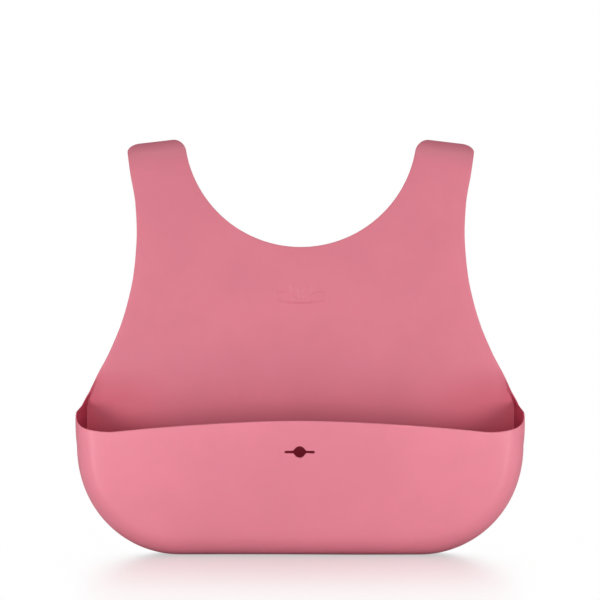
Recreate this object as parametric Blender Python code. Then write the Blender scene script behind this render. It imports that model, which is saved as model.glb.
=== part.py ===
"""Silicone feeding bib that stands on the flat base of its crumb pocket.

Lengths below are millimetres; every mesh is written in metres. +Z is up, the chest faces -Y and
+X is the viewer's right. The origin is the centre of the flat base, on the ground. One moulded
sheet makes the whole bib: an apron, a scoop pocket in front of it, and two neck straps that fold
back over the shoulder crests. It is divided at its flex lines, so each zone is a solid that moves.
"""
import math

import bpy
from mathutils import Vector
from mathutils.geometry import delaunay_2d_cdt

MM = 0.001

# ---- sheet --------------------------------------------------------------------------------------
SHEET = 1.7                 # thickness of the moulded sheet
HALF_SHEET = SHEET / 2
GAP = 0.3                   # clearance between fixed zones
FLEX_GAP = 0.6              # clearance across a flex line

# ---- apron --------------------------------------------------------------------------------------
APRON_Y = 20.0              # middle of the apron sheet
FOLD_Z = 103.0              # line on which the apron folds over the pocket
FOLD_PIVOT = (0.0, APRON_Y - HALF_SHEET - 0.1, FOLD_Z)      # just in front of the sheet
# outline of the apron: (z, half width)
APRON_WIDTHS = (
    (58.0, 115.2), (70.0, 115.9), (77.0, 115.9), (80.0, 115.4), (83.4, 113.9), (88.8, 111.4),
    (94.1, 108.8), (104.1, 103.4), (112.7, 99.5), (121.2, 96.1), (134.0, 92.3), (146.8, 89.6),
    (159.7, 88.2), (170.2, 87.7), (185.3, 88.4), (202.3, 91.2), (216.4, 93.2))
NECK_R = 62.2               # neck opening
NECK_Z = 224.8              # height of its centre

# ---- shoulder crests ----------------------------------------------------------------------------
CREST = (-93.2, 216.4)      # outer end of the left shoulder crest (x, z)
CREST_TILT = 6.7            # degrees; the crest rises towards the neck
CREST_R = 14.0              # bend radius of the fold, middle of the sheet
CREST_CORNER = 5.5          # rounding of the crest's neck end
CREST_OUT = (5.5, 3.0)      # rounding of its outer end, across and down
EDGE_DECAY = 0.35           # radians over which the edges level out behind the crest
ARC_STEP = 10.0             # degrees between rows on the folded crest
ARC_ROWS = int(90 / ARC_STEP)
CREST_CUT = FLEX_GAP / 2 / CREST_R      # bend angle cleared each side of the crest line

# ---- straps -------------------------------------------------------------------------------------
STRAP_IN_R = 65.0           # hanging strap: a ring about the neck's centre
STRAP_OUT_R = 92.0
STRAP_MID_R = (STRAP_IN_R + STRAP_OUT_R) / 2
STRAP_END_R = (STRAP_OUT_R - STRAP_IN_R) / 2
STRAP_WIDEN = 1.5           # full width is reached at 1 / this of the hanging length
STRAP_TIP_X = 8.0           # the tips stop this far from the middle
STRAP_HOLE_D = 7.0
STRAP_HOLES = 4
STRAP_HOLE_PITCH = 15.0
STUD_HOLE_D = 6.4
# centre of the rounded tip, an angle down from the left axis about the neck's centre
TIP_ANGLE = math.acos(STRAP_TIP_X / STRAP_MID_R) - STRAP_END_R / STRAP_MID_R

# ---- pocket -------------------------------------------------------------------------------------
POCKET_Y = -24.0            # middle of the front wall's sheet at its sides and foot
POCKET_BULGE = 9.0          # how far the rim bows forward in its middle
CORNER_X = 64.0             # centre of the elliptical lower corners
CORNER_Z = 58.0
CORNER_AX = 56.0            # its half axes, to the outside of the sheet
CORNER_AZ = 58.0
POCKET_HALF = CORNER_X + CORNER_AX
TAPER = 0.8                 # the front is this much narrower at the corner's height ...
TAPER_Z = 70.0              # ... and full width from here up
DRAFT = 4.0                 # the corners stand this much wider at the front than at the apron
FRONT_FILLET = 10.0
FILLET_DEPTH = 16.0         # the fillet is deeper than wide along the upper side walls
FILLET_TURN = 0.6           # share of the wall's tilt that the fillet turns past square
BACK_FILLET = 1.8
BACK_LAND = 1.2             # flat strip between that fillet and the apron
FRONT_HALF = POCKET_HALF - FRONT_FILLET
EDGE_SLOPE = 2 * POCKET_BULGE / FRONT_HALF      # how steeply the bow meets the side, at the rim

WALL_Z = 79.3               # top of the side walls, carried back to the apron
SIDE_TOP_Z = 88.0           # the last of their top edge sweeps up the apron's edge to here
SWEEP_POWER = 6             # how late that sweep comes
TIP_Z = 75.8                # height of the pocket's front corners
RIM_Z = 72.5                # rim in the middle
RIM_LOW_Z = 66.0            # rim at its lowest, near the corners
RIM_LOW_X = 101.0
RIM_POWER = 1.7             # shape of the rim's fall towards its low point
RIM_RISE = 0.018            # its quadratic rise beyond the low point
RIM_MARGIN = 1.0            # wall sections are measured up to this far above the rim's low point
PANEL_X = 62.0              # half width of the part of the front wall that flexes
PANEL_Z = 13.0              # flex line at its foot

FILLET_ROWS, WALL_ROWS, BACK_ROWS = 5, 6, 2     # mesh rows from front to back
SIDE_ROWS, CORNER_ROWS, FOOT_ROWS = 4, 9, 3     # mesh rows round one half of the pocket

BUTTONHOLE_Z = 55.8
BUTTONHOLE_D = 6.3
BUTTONHOLE_SLIT = 16.1      # over both slits
BUTTONHOLE_SLIT_W = 1.4
BUTTONHOLE_CLEAR = (12, 7)  # no inside mesh points this near its centre, across and up

# ---- neck stud ----------------------------------------------------------------------------------
STUD_HEAD_D = 13.0
STUD_HEAD_H = 2.6
STUD_RIM_H = 1.1            # height of the head at which its dome begins
STUD_RIM_BEVEL = 0.5
STUD_SHANK_D = 5.6
STUD_SHANK_BEVEL = 0.3
STUD_STANDOFF = 2.3         # room under the head for the other strap
RETAINER_D = 14.0
RETAINER_H = 1.6
RETAINER_BEVEL = 0.5
RETAINER_BORE_D = 6.3
TURNED_SEGMENTS = 28

# ---- materials: base colour, roughness ----------------------------------------------------------
MATERIALS = {
    "silicone_apron": ((0.702, 0.202, 0.262), 0.48),
    "silicone_chest": ((0.690, 0.196, 0.255), 0.48),
    "silicone_scoop": ((0.715, 0.212, 0.272), 0.45),
    "silicone_front": ((0.730, 0.225, 0.285), 0.45),
    "silicone_strap_left": ((0.680, 0.190, 0.250), 0.48),
    "silicone_strap_right": ((0.680, 0.190, 0.250), 0.48),
    "stud_plastic": ((0.560, 0.130, 0.180), 0.35),
    "retainer_plastic": ((0.520, 0.120, 0.165), 0.40),
}


def material(name):
    colour, roughness = MATERIALS[name]
    mat = bpy.data.materials.new(name)
    mat.use_nodes = True
    shader = mat.node_tree.nodes["Principled BSDF"]
    shader.inputs["Base Color"].default_value = (*colour, 1.0)
    shader.inputs["Roughness"].default_value = roughness
    shader.inputs["Metallic"].default_value = 0.0
    return mat


# ---- plane geometry -----------------------------------------------------------------------------
def steps(start, end, count):
    return [start + (end - start) * i / count for i in range(count + 1)]


def mirrored(points):
    return [(-x, z) for x, z in points]


def through(stations, z):
    """A smooth curve through the stations, monotone where they are."""
    last = len(stations) - 1
    spans = [stations[i + 1][0] - stations[i][0] for i in range(last)]
    slopes = [(stations[i + 1][1] - stations[i][1]) / spans[i] for i in range(last)]
    tangents = [slopes[0]]
    for before, after in zip(slopes, slopes[1:]):
        turns = before * after <= 0
        tangents.append(0.0 if turns else 2 * before * after / (before + after))
    tangents.append(slopes[-1])
    z = min(max(z, stations[0][0]), stations[-1][0])
    i = max(k for k in range(last) if stations[k][0] <= z)
    s = (z - stations[i][0]) / spans[i]
    return ((2 * s ** 3 - 3 * s ** 2 + 1) * stations[i][1]
            + (s ** 3 - 2 * s ** 2 + s) * spans[i] * tangents[i]
            + (3 * s ** 2 - 2 * s ** 3) * stations[i + 1][1]
            + (s ** 3 - s ** 2) * spans[i] * tangents[i + 1])


def apron_half(z):
    return through(APRON_WIDTHS, z)


def in_polygon(point, polygon):
    x, z = point
    inside = False
    for i, (xa, za) in enumerate(polygon):
        xb, zb = polygon[i - 1]
        if (za > z) != (zb > z) and x < (xb - xa) * (z - za) / (zb - za) + xa:
            inside = not inside
    return inside


def grid_in(outline, across, up):
    """Points of a grid that lie inside the outline."""
    return [(x, z) for x in across for z in up if in_polygon((x, z), outline)]


def region(outline, holes=(), inside=(), rows=()):
    """Triangles of a plane region: outline, holes, loose inside points, and rows that stay joined."""
    points, edges, index = [], [], {}

    def add(point):
        key = (round(point[0], 4), round(point[1], 4))
        if key not in index:
            index[key] = len(points)
            points.append(point)
        return index[key]

    for loop in (outline, *holes):
        ids = [add(p) for p in loop]
        edges += list(zip(ids, ids[1:] + ids[:1]))
    for row in rows:
        ids = [add(p) for p in row]
        edges += list(zip(ids, ids[1:]))
    for p in inside:
        add(p)
    verts, _, faces = delaunay_2d_cdt([Vector(p) for p in points], edges, [], 0, 1e-5)[:3]
    verts = [(v.x, v.y) for v in verts]
    keep = []
    for face in faces:
        a, b, c = (verts[i] for i in face)
        middle = ((a[0] + b[0] + c[0]) / 3, (a[1] + b[1] + c[1]) / 3)
        area = (b[0] - a[0]) * (c[1] - a[1]) - (b[1] - a[1]) * (c[0] - a[0])
        if abs(area) < 1e-7 or not in_polygon(middle, outline):
            continue
        if any(in_polygon(middle, hole) for hole in holes):
            continue
        keep.append(tuple(face) if area > 0 else tuple(reversed(face)))
    return verts, keep


# ---- solids -------------------------------------------------------------------------------------
def make(name, verts, faces, mat, pivot=(0, 0, 0)):
    """A mesh object from millimetre points; its origin sits on its pivot."""
    pivot = Vector(pivot)
    mesh = bpy.data.meshes.new(name)
    mesh.from_pydata([tuple((Vector(v) - pivot) * MM) for v in verts], [], faces)
    mesh.materials.append(mat)
    mesh.validate()
    mesh.shade_smooth()
    mesh.set_sharp_from_angle(angle=math.radians(40))
    mesh.update()
    ob = bpy.data.objects.new(name, mesh)
    ob.location = pivot * MM
    bpy.context.collection.objects.link(ob)


def sheet(name, points, faces, mat, pivot=(0, 0, 0)):
    """A solid of even thickness about a middle surface.

    Faces run counter-clockwise seen from the chest side.
    """
    used = sorted({i for f in faces for i in f})
    number = {i: k for k, i in enumerate(used)}
    middle = [Vector(points[i]) for i in used]
    faces = [tuple(number[i] for i in f) for f in faces]
    normals = [Vector((0, 0, 0)) for _ in middle]
    for f in faces:                             # normals weighted by the angle at each corner
        for k, corner in enumerate(f):
            a, b, c = middle[f[k - 1]], middle[corner], middle[f[(k + 1) % len(f)]]
            normal = (b - a).cross(c - b)
            if normal.length > 1e-12:
                normals[corner] += normal.normalized() * (c - b).angle(a - b, 0.0)
    normals = [n.normalized() for n in normals]
    count = len(middle)
    verts = [p + n * SHEET / 2 for p, n in zip(middle, normals)]
    verts += [p - n * SHEET / 2 for p, n in zip(middle, normals)]
    sides = dict.fromkeys(side for f in faces for side in zip(f, f[1:] + f[:1]))
    solid = faces + [tuple(count + i for i in reversed(f)) for f in faces]
    solid += [(b, a, count + a, count + b) for a, b in sides if (b, a) not in sides]
    make(name, verts, solid, mat, pivot)


def turned(name, sections, centre, mat, pivot):
    """A turned profile of (radius, height along +Y).

    A profile that starts off the axis closes on itself; otherwise both its ends are on the axis.
    """
    count = TURNED_SEGMENTS
    verts, faces, rings = [], [], []
    for radius, height in sections:
        if radius < 1e-9:
            rings.append([len(verts)])
            verts.append((centre[0], centre[1] + height, centre[2]))
            continue
        rings.append(list(range(len(verts), len(verts) + count)))
        for i in range(count):
            angle = 2 * math.pi * i / count
            verts.append((centre[0] + radius * math.cos(angle), centre[1] + height,
                          centre[2] + radius * math.sin(angle)))
    pairs = list(zip(rings, rings[1:]))
    if len(rings[0]) > 1:
        pairs.append((rings[-1], rings[0]))
    for a, b in pairs:
        for i in range(count):
            j = (i + 1) % count
            if len(a) == 1:
                faces.append((a[0], b[i], b[j]))
            elif len(b) == 1:
                faces.append((a[i], b[0], a[j]))
            else:
                faces.append((a[i], b[i], b[j], a[j]))
    make(name, verts, faces, mat, pivot)


# ---- fold over the left crest -------------------------------------------------------------------
# ALONG runs along the crest towards the neck, ACROSS stands square to it, up the sheet
ALONG = (math.cos(math.radians(CREST_TILT)), math.sin(math.radians(CREST_TILT)))
ACROSS = (-ALONG[1], ALONG[0])
BEND_START = (CREST[0] - ACROSS[0] * (CREST_R + SHEET / 2),
              CREST[1] - ACROSS[1] * (CREST_R + SHEET / 2))
# outer end of the crest, from the neck's centre
CREST_OUT_R = math.hypot(CREST[0] + CREST_OUT[0],
                         CREST[1] + CREST_OUT[0] * ALONG[1] - NECK_Z)


def flat(q, s):
    """Point (x, z) of the flat sheet: q along the crest, s across it from the bend's start."""
    return (BEND_START[0] + q * ALONG[0] + s * ACROSS[0],
            BEND_START[1] + q * ALONG[1] + s * ACROSS[1])


def crest_coords(x, z):
    """The inverse of flat: (q, s) of a point."""
    dx, dz = x - BEND_START[0], z - BEND_START[1]
    return dx * ALONG[0] + dz * ALONG[1], dx * ACROSS[0] + dz * ACROSS[1]


def fold(x, z):
    """Wrap a point of the left half of the flat sheet back over the crest."""
    q, s = crest_coords(x, z)
    if s <= 0:
        return (x, APRON_Y, z)
    if s < math.pi * CREST_R:
        up = CREST_R * math.sin(s / CREST_R)
        back = CREST_R * (1 - math.cos(s / CREST_R))
    else:
        up = -(s - math.pi * CREST_R)
        back = 2 * CREST_R
    x, z = flat(q, up)
    return (x, APRON_Y + back, z)


def fold_either(x, z):
    """Wrap a point of either half of the flat sheet."""
    if x < 0:
        return fold(x, z)
    x, y, z = fold(-x, z)
    return (-x, y, z)


def ring_q(height, radius):
    """q where a line parallel to the crest, above the bend's start, meets a ring about the neck."""
    x, z = flat(0.0, height)
    z -= NECK_Z
    b = x * ALONG[0] + z * ALONG[1]
    c = x * x + z * z - radius * radius
    return -b - math.sqrt(b * b - c)


def apron_edge_q(height):
    """q of the apron's own edge at a height above the bend's start, found by bisection."""
    low, high = CREST[1] - 40, CREST[1] + 6
    for _ in range(40):
        z = (low + high) / 2
        q, s = crest_coords(-apron_half(z), z)
        if s < height:
            low = z
        else:
            high = z
    return q


def crest_edges(bend):
    """The strap's two edges (neck side, outer side) as q, at a bend angle."""
    height = CREST_R * math.sin(bend)
    if bend > math.pi / 2:                      # both edges run on smoothly behind the crest
        past = bend - math.pi / 2
        run = past * math.exp(-past / EDGE_DECAY)
        neck_r = NECK_R + CREST_CORNER + run * math.sqrt(CREST_R * CREST_CORNER)
        outer_r = CREST_OUT_R - run * CREST_OUT[0] * math.sqrt(CREST_R / CREST_OUT[1])
        return ring_q(height, neck_r), ring_q(height, outer_r)
    left = CREST_R * (1 - math.sin(bend))       # height still to climb to the crest line
    notch, outer = 0.0, 0.0
    if left < CREST_CORNER:
        notch = CREST_CORNER - math.sqrt(CREST_CORNER ** 2 - (CREST_CORNER - left) ** 2)
    if left < CREST_OUT[1]:
        outer = CREST_OUT[0] * (1 - math.sqrt(1 - (1 - left / CREST_OUT[1]) ** 2))
    return ring_q(height, NECK_R + notch), apron_edge_q(height) + outer


def crest_row(bend):
    """A row of the flat sheet at a bend angle, from the outer edge to the neck."""
    q_neck, q_outer = crest_edges(bend)
    return [flat(q, bend * CREST_R) for q in steps(q_outer, q_neck, 3)]


# ---- hanging strap: angles run down from the left axis, about the neck's centre ------------------
def ring_point(radius, angle):
    return (-radius * math.cos(angle), NECK_Z - radius * math.sin(angle))


def unfold(x, z):
    """A point of the hanging left strap, as a point of the flat sheet."""
    q, height = crest_coords(x, z)
    return flat(q, math.pi * CREST_R - height)


def hang_radii(t):
    """Neck side and outer radius, t = 0 at the crest to 1 at the tip: it widens to a paddle."""
    k = min(1.0, t * STRAP_WIDEN)
    k = k * k * (3 - 2 * k)
    return (NECK_R + CREST_CORNER + (STRAP_IN_R - NECK_R - CREST_CORNER) * k,
            CREST_OUT_R + (STRAP_OUT_R - CREST_OUT_R) * k)


def hanging_edge(side, count):
    """Edge of the hanging strap after the bend; side 0 is the neck side, 1 the outer side."""
    x, z = flat(crest_edges(math.pi)[side], 0.0)
    start = math.atan2(NECK_Z - z, -x)
    edge = [unfold(*ring_point(hang_radii(i / count)[side], angle))
            for i, angle in enumerate(steps(start, TIP_ANGLE, count))]
    return edge[1:]


def strap_tip():
    """The rounded end, from the outer edge to the neck side."""
    centre_x, centre_z = ring_point(STRAP_MID_R, TIP_ANGLE)
    dx, dz = math.cos(TIP_ANGLE), math.sin(TIP_ANGLE)
    tip = []
    for i in range(1, 12):
        t = math.pi * i / 12
        out, on = STRAP_END_R * math.cos(t), STRAP_END_R * math.sin(t)
        tip.append(unfold(centre_x - out * dx + on * dz, centre_z - out * dz - on * dx))
    return tip


def strap_hole(angle, diameter, count=16):
    """A round hole through the hanging strap, in the flat sheet."""
    centre_x, centre_z = ring_point(STRAP_MID_R, angle)
    hole = []
    for i in range(count):
        t = 2 * math.pi * i / count
        hole.append(unfold(centre_x + diameter / 2 * math.cos(t),
                           centre_z + diameter / 2 * math.sin(t)))
    return hole


def crest_pivot():
    """Middle of the left crest line, on the outside of the sheet."""
    x, z = flat(sum(crest_edges(math.pi / 2)) / 2, CREST_R + SHEET / 2)
    return (x, APRON_Y + CREST_R, z)


PIVOT_LEFT = crest_pivot()
PIVOT_RIGHT = (-PIVOT_LEFT[0], PIVOT_LEFT[1], PIVOT_LEFT[2])


# ---- pocket surface -----------------------------------------------------------------------------
def rise(z):
    """0 at the front panel's foot to 1 at the rim."""
    return min(max((z - PANEL_Z) / (RIM_Z - PANEL_Z), 0.0), 1.0)


def front_y(x, z):
    """The front wall bows forward: not at its foot, most at the rim, round in plan."""
    up = rise(z)
    bulge = POCKET_BULGE * (1 - (x / FRONT_HALF) ** 2) * up * (1.5 - 0.5 * up)
    return POCKET_Y - max(bulge, 0.0)


def rim_z(x):
    x = abs(x)
    if x < RIM_LOW_X:
        return RIM_Z - (RIM_Z - RIM_LOW_Z) * (x / RIM_LOW_X) ** RIM_POWER
    return RIM_LOW_Z + RIM_RISE * (x - RIM_LOW_X) ** 2


def outer_half(z):
    """Half width of the front above its elliptical corners, to the outside of the sheet."""
    return POCKET_HALF - TAPER * max(0.0, (TAPER_Z - z) / (TAPER_Z - CORNER_Z)) ** 2


def wall_section(inset, slope, depth):
    """Front fillet, wall, back fillet and land as (outward offset, y), front to back.

    inset is how far the wall draws in by the apron, slope that of the front where the fillet
    begins, depth the fillet's size along Y.
    """
    gamma = math.atan(slope)
    tilt = math.atan2(inset, APRON_Y - POCKET_Y - FRONT_FILLET)
    line = [(FRONT_FILLET * (math.sin(beta) - 1),
             POCKET_Y + depth * (math.cos(gamma) - math.cos(beta)))
            for beta in steps(gamma, math.pi / 2 + tilt * FILLET_TURN, FILLET_ROWS)]
    wall_o, wall_y = line[-1]
    tilt = math.atan2(wall_o + inset, APRON_Y - wall_y)     # straight from here to the crease
    crease_y = APRON_Y - BACK_FILLET * (1 - math.sin(tilt))
    line += [(wall_o - (y - wall_y) * math.tan(tilt), y)
             for y in steps(wall_y, crease_y, WALL_ROWS)[1:]]
    crease_o = line[-1][0]
    line += [(crease_o + BACK_FILLET * (math.sin(beta) - math.cos(tilt)),
              crease_y + BACK_FILLET * (-math.sin(tilt) - math.cos(beta)))
             for beta in steps(math.pi / 2 + tilt, math.pi, BACK_ROWS)[1:]]
    line.append((line[-1][0] - BACK_LAND, APRON_Y))
    return line


def side_row(up):
    """Row along the right side wall; up is 0 at the corner and 1 at the wall's top edge."""
    height = CORNER_Z + up * (RIM_LOW_Z + RIM_MARGIN - CORNER_Z)
    half = outer_half(height)
    line = wall_section(half - apron_half(height), EDGE_SLOPE * rise(height), FILLET_DEPTH)
    runs = [0.0]                                # length of the line up to each fillet point
    for a, b in zip(line[:FILLET_ROWS], line[1:]):
        runs.append(runs[-1] + math.hypot(b[0] - a[0], b[1] - a[1]))
    start = half - HALF_SHEET + line[0][0] - RIM_LOW_X
    crease = FILLET_ROWS + WALL_ROWS
    wall_o, wall_y = line[FILLET_ROWS]
    crease_o, crease_y = line[crease]
    row = []
    for i, (offset, y) in enumerate(line):
        back = min(1.0, (y - wall_y) / (crease_y - wall_y))
        if i <= FILLET_ROWS:
            climb = (start + runs[i]) / (start + runs[-1])
            top = RIM_LOW_Z + (TIP_Z - RIM_LOW_Z) * climb ** 2
        else:
            top = TIP_Z + (WALL_Z - TIP_Z) * back + (SIDE_TOP_Z - WALL_Z) * back ** SWEEP_POWER
        z = CORNER_Z + up * (top - CORNER_Z)
        x = outer_half(z) - HALF_SHEET
        if i <= FILLET_ROWS:
            x += offset
        else:                                   # the wall leans in to the apron's own edge
            x += wall_o + (apron_half(z) - HALF_SHEET - x - wall_o) * back
        if i > crease:
            x += offset - crease_o
        row.append((x, y, z))
    return row


def corner_row(turn):
    """Row round the right lower corner; turn is 0 at the side wall and 1 at the foot."""
    alpha = turn * math.pi / 2
    cos, sin = math.cos(alpha), math.sin(alpha)
    slope = EDGE_SLOPE * cos ** 2 * rise(CORNER_Z - (CORNER_AZ - FRONT_FILLET) * sin)
    depth = FRONT_FILLET + (FILLET_DEPTH - FRONT_FILLET) * cos ** 2
    return [(CORNER_X + (CORNER_AX - HALF_SHEET + offset) * cos, y,
             CORNER_Z - (CORNER_AZ - HALF_SHEET + offset) * sin)
            for offset, y in wall_section(DRAFT * cos ** 2, slope, depth)]


def foot_row(x):
    return [(x, y, HALF_SHEET - offset)
            for offset, y in wall_section(0.0, 0.0, FRONT_FILLET)]


def pocket_rows():
    """Rows, each front to back, from the right top edge along the foot to the left top edge."""
    right = [side_row(up) for up in steps(1.0, 0.0, SIDE_ROWS)[:-1]]
    right += [corner_row(turn) for turn in steps(0.0, 1.0, CORNER_ROWS)]
    right += [foot_row(x) for x in steps(CORNER_X, 0.0, FOOT_ROWS)[1:]]
    left = [[(-x, y, z) for x, y, z in row] for row in right[:-1]]
    return right + left[::-1]


def merge(parts):
    """Join patches that share points into one list of points and faces."""
    points, index, faces = [], {}, []
    for part_points, polygons in parts:
        ids = []
        for p in part_points:
            key = tuple(round(c, 3) for c in p)
            if key not in index:
                index[key] = len(points)
                points.append(p)
            ids.append(index[key])
        for polygon in polygons:
            face = tuple(ids[i] for i in polygon)
            if len(set(face)) == len(face):
                faces.append(face)
    return points, faces


def buttonhole():
    """Outline of a round eye with a slit to each side."""
    eye, slit, reach = BUTTONHOLE_D / 2, BUTTONHOLE_SLIT_W / 2, BUTTONHOLE_SLIT / 2
    start = math.asin(slit / eye)
    outline = []
    for side in (1, -1):
        for t in steps(-math.pi / 2, math.pi / 2, 6):
            outline.append((side * (reach - slit + slit * math.cos(t)),
                            BUTTONHOLE_Z + side * slit * math.sin(t)))
        for i in range(9):
            t = start + (math.pi - 2 * start) * i / 8
            outline.append((side * eye * math.cos(t), BUTTONHOLE_Z + side * eye * math.sin(t)))
    return outline


# ---- pieces -------------------------------------------------------------------------------------
def pocket_scoop(rows):
    """Foot, side walls and the fixed margin of the front wall."""
    band = [p for row in rows for p in row]
    width = len(rows[0])
    band_faces = []
    for i in range(len(rows) - 1):
        for j in range(width - 1):
            a = i * width + j
            band_faces.append((a, a + width, a + width + 1, a + 1))

    inner = [(row[0][0], row[0][2]) for row in rows]
    cut = PANEL_X + FLEX_GAP / 2
    low = PANEL_Z - FLEX_GAP / 2
    rim = [(x, rim_z(x)) for x in steps(cut, inner[0][0], 6)[:-1]]
    outline = inner + mirrored(rim[::-1])
    outline += [(-cut, z) for z in steps(rim_z(cut), low, 4)][1:]
    outline += [(x, low) for x in steps(-cut, cut, 8)][1:]
    outline += [(cut, z) for z in steps(low, rim_z(cut), 4)][1:-1]
    outline += rim
    inside = [(side * x, z) for x, z in grid_in(outline, steps(68, 104, 4), steps(20, 62, 4))
              if z < rim_z(x) - 4 for side in (1, -1)]
    points, faces = region(outline, inside=inside)
    # the wall's edge points are those of the band, so that the two join
    edge = {(round(row[0][0], 3), round(row[0][2], 3)): row[0] for row in rows}
    front = [edge.get((round(x, 3), round(z, 3)), (x, front_y(x, z), z)) for x, z in points]
    points, faces = merge([(band, band_faces), (front, faces)])
    sheet("pocket_scoop", points, faces, material("silicone_scoop"))


def pocket_front():
    """The front panel that flexes, with the buttonhole."""
    half = PANEL_X - FLEX_GAP / 2
    foot = PANEL_Z + FLEX_GAP / 2
    top = rim_z(half)
    outline = [(x, foot) for x in steps(-half, half, 8)]
    outline += [(half, z) for z in steps(foot, top, 5)][1:-1]
    outline += [(x, rim_z(x)) for x in steps(half, -half, 16)]
    outline += [(-half, z) for z in steps(top, foot, 5)][1:-1]
    clear_x, clear_z = BUTTONHOLE_CLEAR
    inside = [(x, z) for x in steps(-half, half, 8)[1:-1] for z in steps(foot, 66, 5)[1:]
              if abs(x) > clear_x or abs(z - BUTTONHOLE_Z) > clear_z]
    points, faces = region(outline, holes=[buttonhole()], inside=inside)
    sheet("pocket_front", [(x, front_y(x, z), z) for x, z in points], faces,
          material("silicone_front"), (0.0, POCKET_Y, PANEL_Z))


def apron_lower(rows):
    """The back of the pocket, up to the fold line."""
    seam = []                                   # the scoop's back edge, moved in by the gap
    for row in rows:
        (near_x, _, near_z), (x, _, z) = row[-2:]
        length = math.hypot(x - near_x, z - near_z)
        seam.append((x + (x - near_x) / length * GAP, z + (z - near_z) / length * GAP))
    shoulder = SIDE_TOP_Z + 0.5                 # just clear of the side walls
    edge = [(apron_half(z), z) for z in steps(FOLD_Z - FLEX_GAP / 2, shoulder, 3)]
    outline = edge + [(seam[0][0], shoulder)]
    outline += [p for p in seam if p[1] < shoulder - 1.0]
    outline += [(seam[-1][0], shoulder)] + mirrored(edge[::-1])
    inside = grid_in(outline, steps(-90, 90, 6), steps(18, 88, 4))
    points, faces = region(outline, inside=inside)
    sheet("apron_lower", [(x, APRON_Y, z) for x, z in points], faces,
          material("silicone_apron"))


def apron_upper():
    """The chest and the front half of both crests."""
    rows = [crest_row(min(math.pi / 2 - CREST_CUT, math.radians(ARC_STEP * i)))
            for i in range(ARC_ROWS + 1)]
    bend_z = rows[0][0][1]
    left = [(-apron_half(z), z) for z in steps(FOLD_Z + FLEX_GAP / 2, bend_z, 12)[:-1]]
    left += [row[0] for row in rows] + rows[-1][1:-1] + [row[-1] for row in rows[::-1]]
    x, z = rows[0][-1]
    neck_angles = steps(math.atan2(z - NECK_Z, x), -math.pi / 2, 12)[1:]
    left += [(NECK_R * math.cos(a), NECK_Z + NECK_R * math.sin(a)) for a in neck_angles]
    outline = left + mirrored(left[:-1][::-1])
    inside = [(x, z) for x, z in grid_in(outline, steps(-80, 80, 5), steps(115, 190, 5))
              if math.hypot(x, z - NECK_Z) > NECK_R + 5]
    points, faces = region(outline, inside=inside, rows=rows + [mirrored(r) for r in rows])
    sheet("apron_upper", [fold_either(x, z) for x, z in points], faces,
          material("silicone_chest"), FOLD_PIVOT)


def left_strap_surface(holes):
    """Points and faces: the back half of the left crest and the hanging strap."""
    rows = [crest_row(max(math.pi / 2 + CREST_CUT, math.radians(90 + ARC_STEP * i)))
            for i in range(ARC_ROWS + 1)]
    outline = [row[0] for row in rows] + hanging_edge(1, 16) + strap_tip()
    outline += hanging_edge(0, 14)[::-1] + [row[-1] for row in rows[::-1]]
    outline += rows[0][1:-1][::-1]
    points, faces = region(outline, holes=holes, rows=rows)
    return [fold(x, z) for x, z in points], faces


def strap_left():
    """Left strap, with a row of holes for the stud."""
    pitch = STRAP_HOLE_PITCH / STRAP_MID_R
    holes = [strap_hole(TIP_ANGLE - pitch * i, STRAP_HOLE_D) for i in range(STRAP_HOLES)]
    points, faces = left_strap_surface(holes)
    sheet("strap_left", points, faces, material("silicone_strap_left"), PIVOT_LEFT)


def strap_right():
    """Right strap, mirrored, with one hole for the stud's shank."""
    points, faces = left_strap_surface([strap_hole(TIP_ANGLE, STUD_HOLE_D)])
    sheet("strap_right", [(-x, y, z) for x, y, z in points],
          [tuple(reversed(f)) for f in faces], material("silicone_strap_right"), PIVOT_RIGHT)


def neck_stud(centre, shank_end):
    """Domed head behind the strap, on a shank that passes through it."""
    radius, shank = STUD_HEAD_D / 2, STUD_SHANK_D / 2
    under = STUD_STANDOFF
    profile = [(0.0, shank_end), (shank - STUD_SHANK_BEVEL, shank_end),
               (shank, shank_end + STUD_SHANK_BEVEL), (shank, under),
               (radius - STUD_RIM_BEVEL, under), (radius, under + STUD_RIM_BEVEL),
               (radius, under + STUD_RIM_H)]
    for i in range(1, 6):
        t = math.pi / 2 * i / 6
        dome = (STUD_HEAD_H - STUD_RIM_H) * math.sin(t)
        profile.append((radius * math.cos(t), under + STUD_RIM_H + dome))
    profile.append((0.0, under + STUD_HEAD_H))
    turned("neck_stud", profile, centre, material("stud_plastic"), PIVOT_RIGHT)


def stud_retainer(centre, front):
    """Ring round the shank, in front of the strap."""
    bore, radius, back = RETAINER_BORE_D / 2, RETAINER_D / 2, -SHEET - GAP
    profile = [(bore, back), (bore, front), (radius - RETAINER_BEVEL, front),
               (radius, front + RETAINER_BEVEL), (radius, back)]
    turned("stud_retainer", profile, centre, material("retainer_plastic"), PIVOT_RIGHT)


for old in list(bpy.data.objects):
    bpy.data.objects.remove(old, do_unlink=True)

wall_rows = pocket_rows()
pocket_scoop(wall_rows)
pocket_front()
apron_lower(wall_rows)
apron_upper()
strap_left()
strap_right()

# the stud's heights are measured from the back face of the hanging strap
tip_x, tip_z = ring_point(STRAP_MID_R, TIP_ANGLE)
stud_centre = (-tip_x, APRON_Y + 2 * CREST_R + HALF_SHEET, tip_z)
stud_front = -SHEET - GAP - RETAINER_H
neck_stud(stud_centre, stud_front)
stud_retainer(stud_centre, stud_front)
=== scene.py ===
# A silicone feeding bib, standing on z = 0 with its front toward -Y and its left pieces at -X. A pocket
# stands before the apron, a sheet in the plane y = 20 mm. Two straps rise beside the round neck opening,
# fold back (+Y) over tilted crests and hang behind it. Each flexible zone is a thick sheet with rounded
# edges, built about a middle surface. The product is in millimetres until a mesh is written; the
# studio is in metres.
import math

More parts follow.
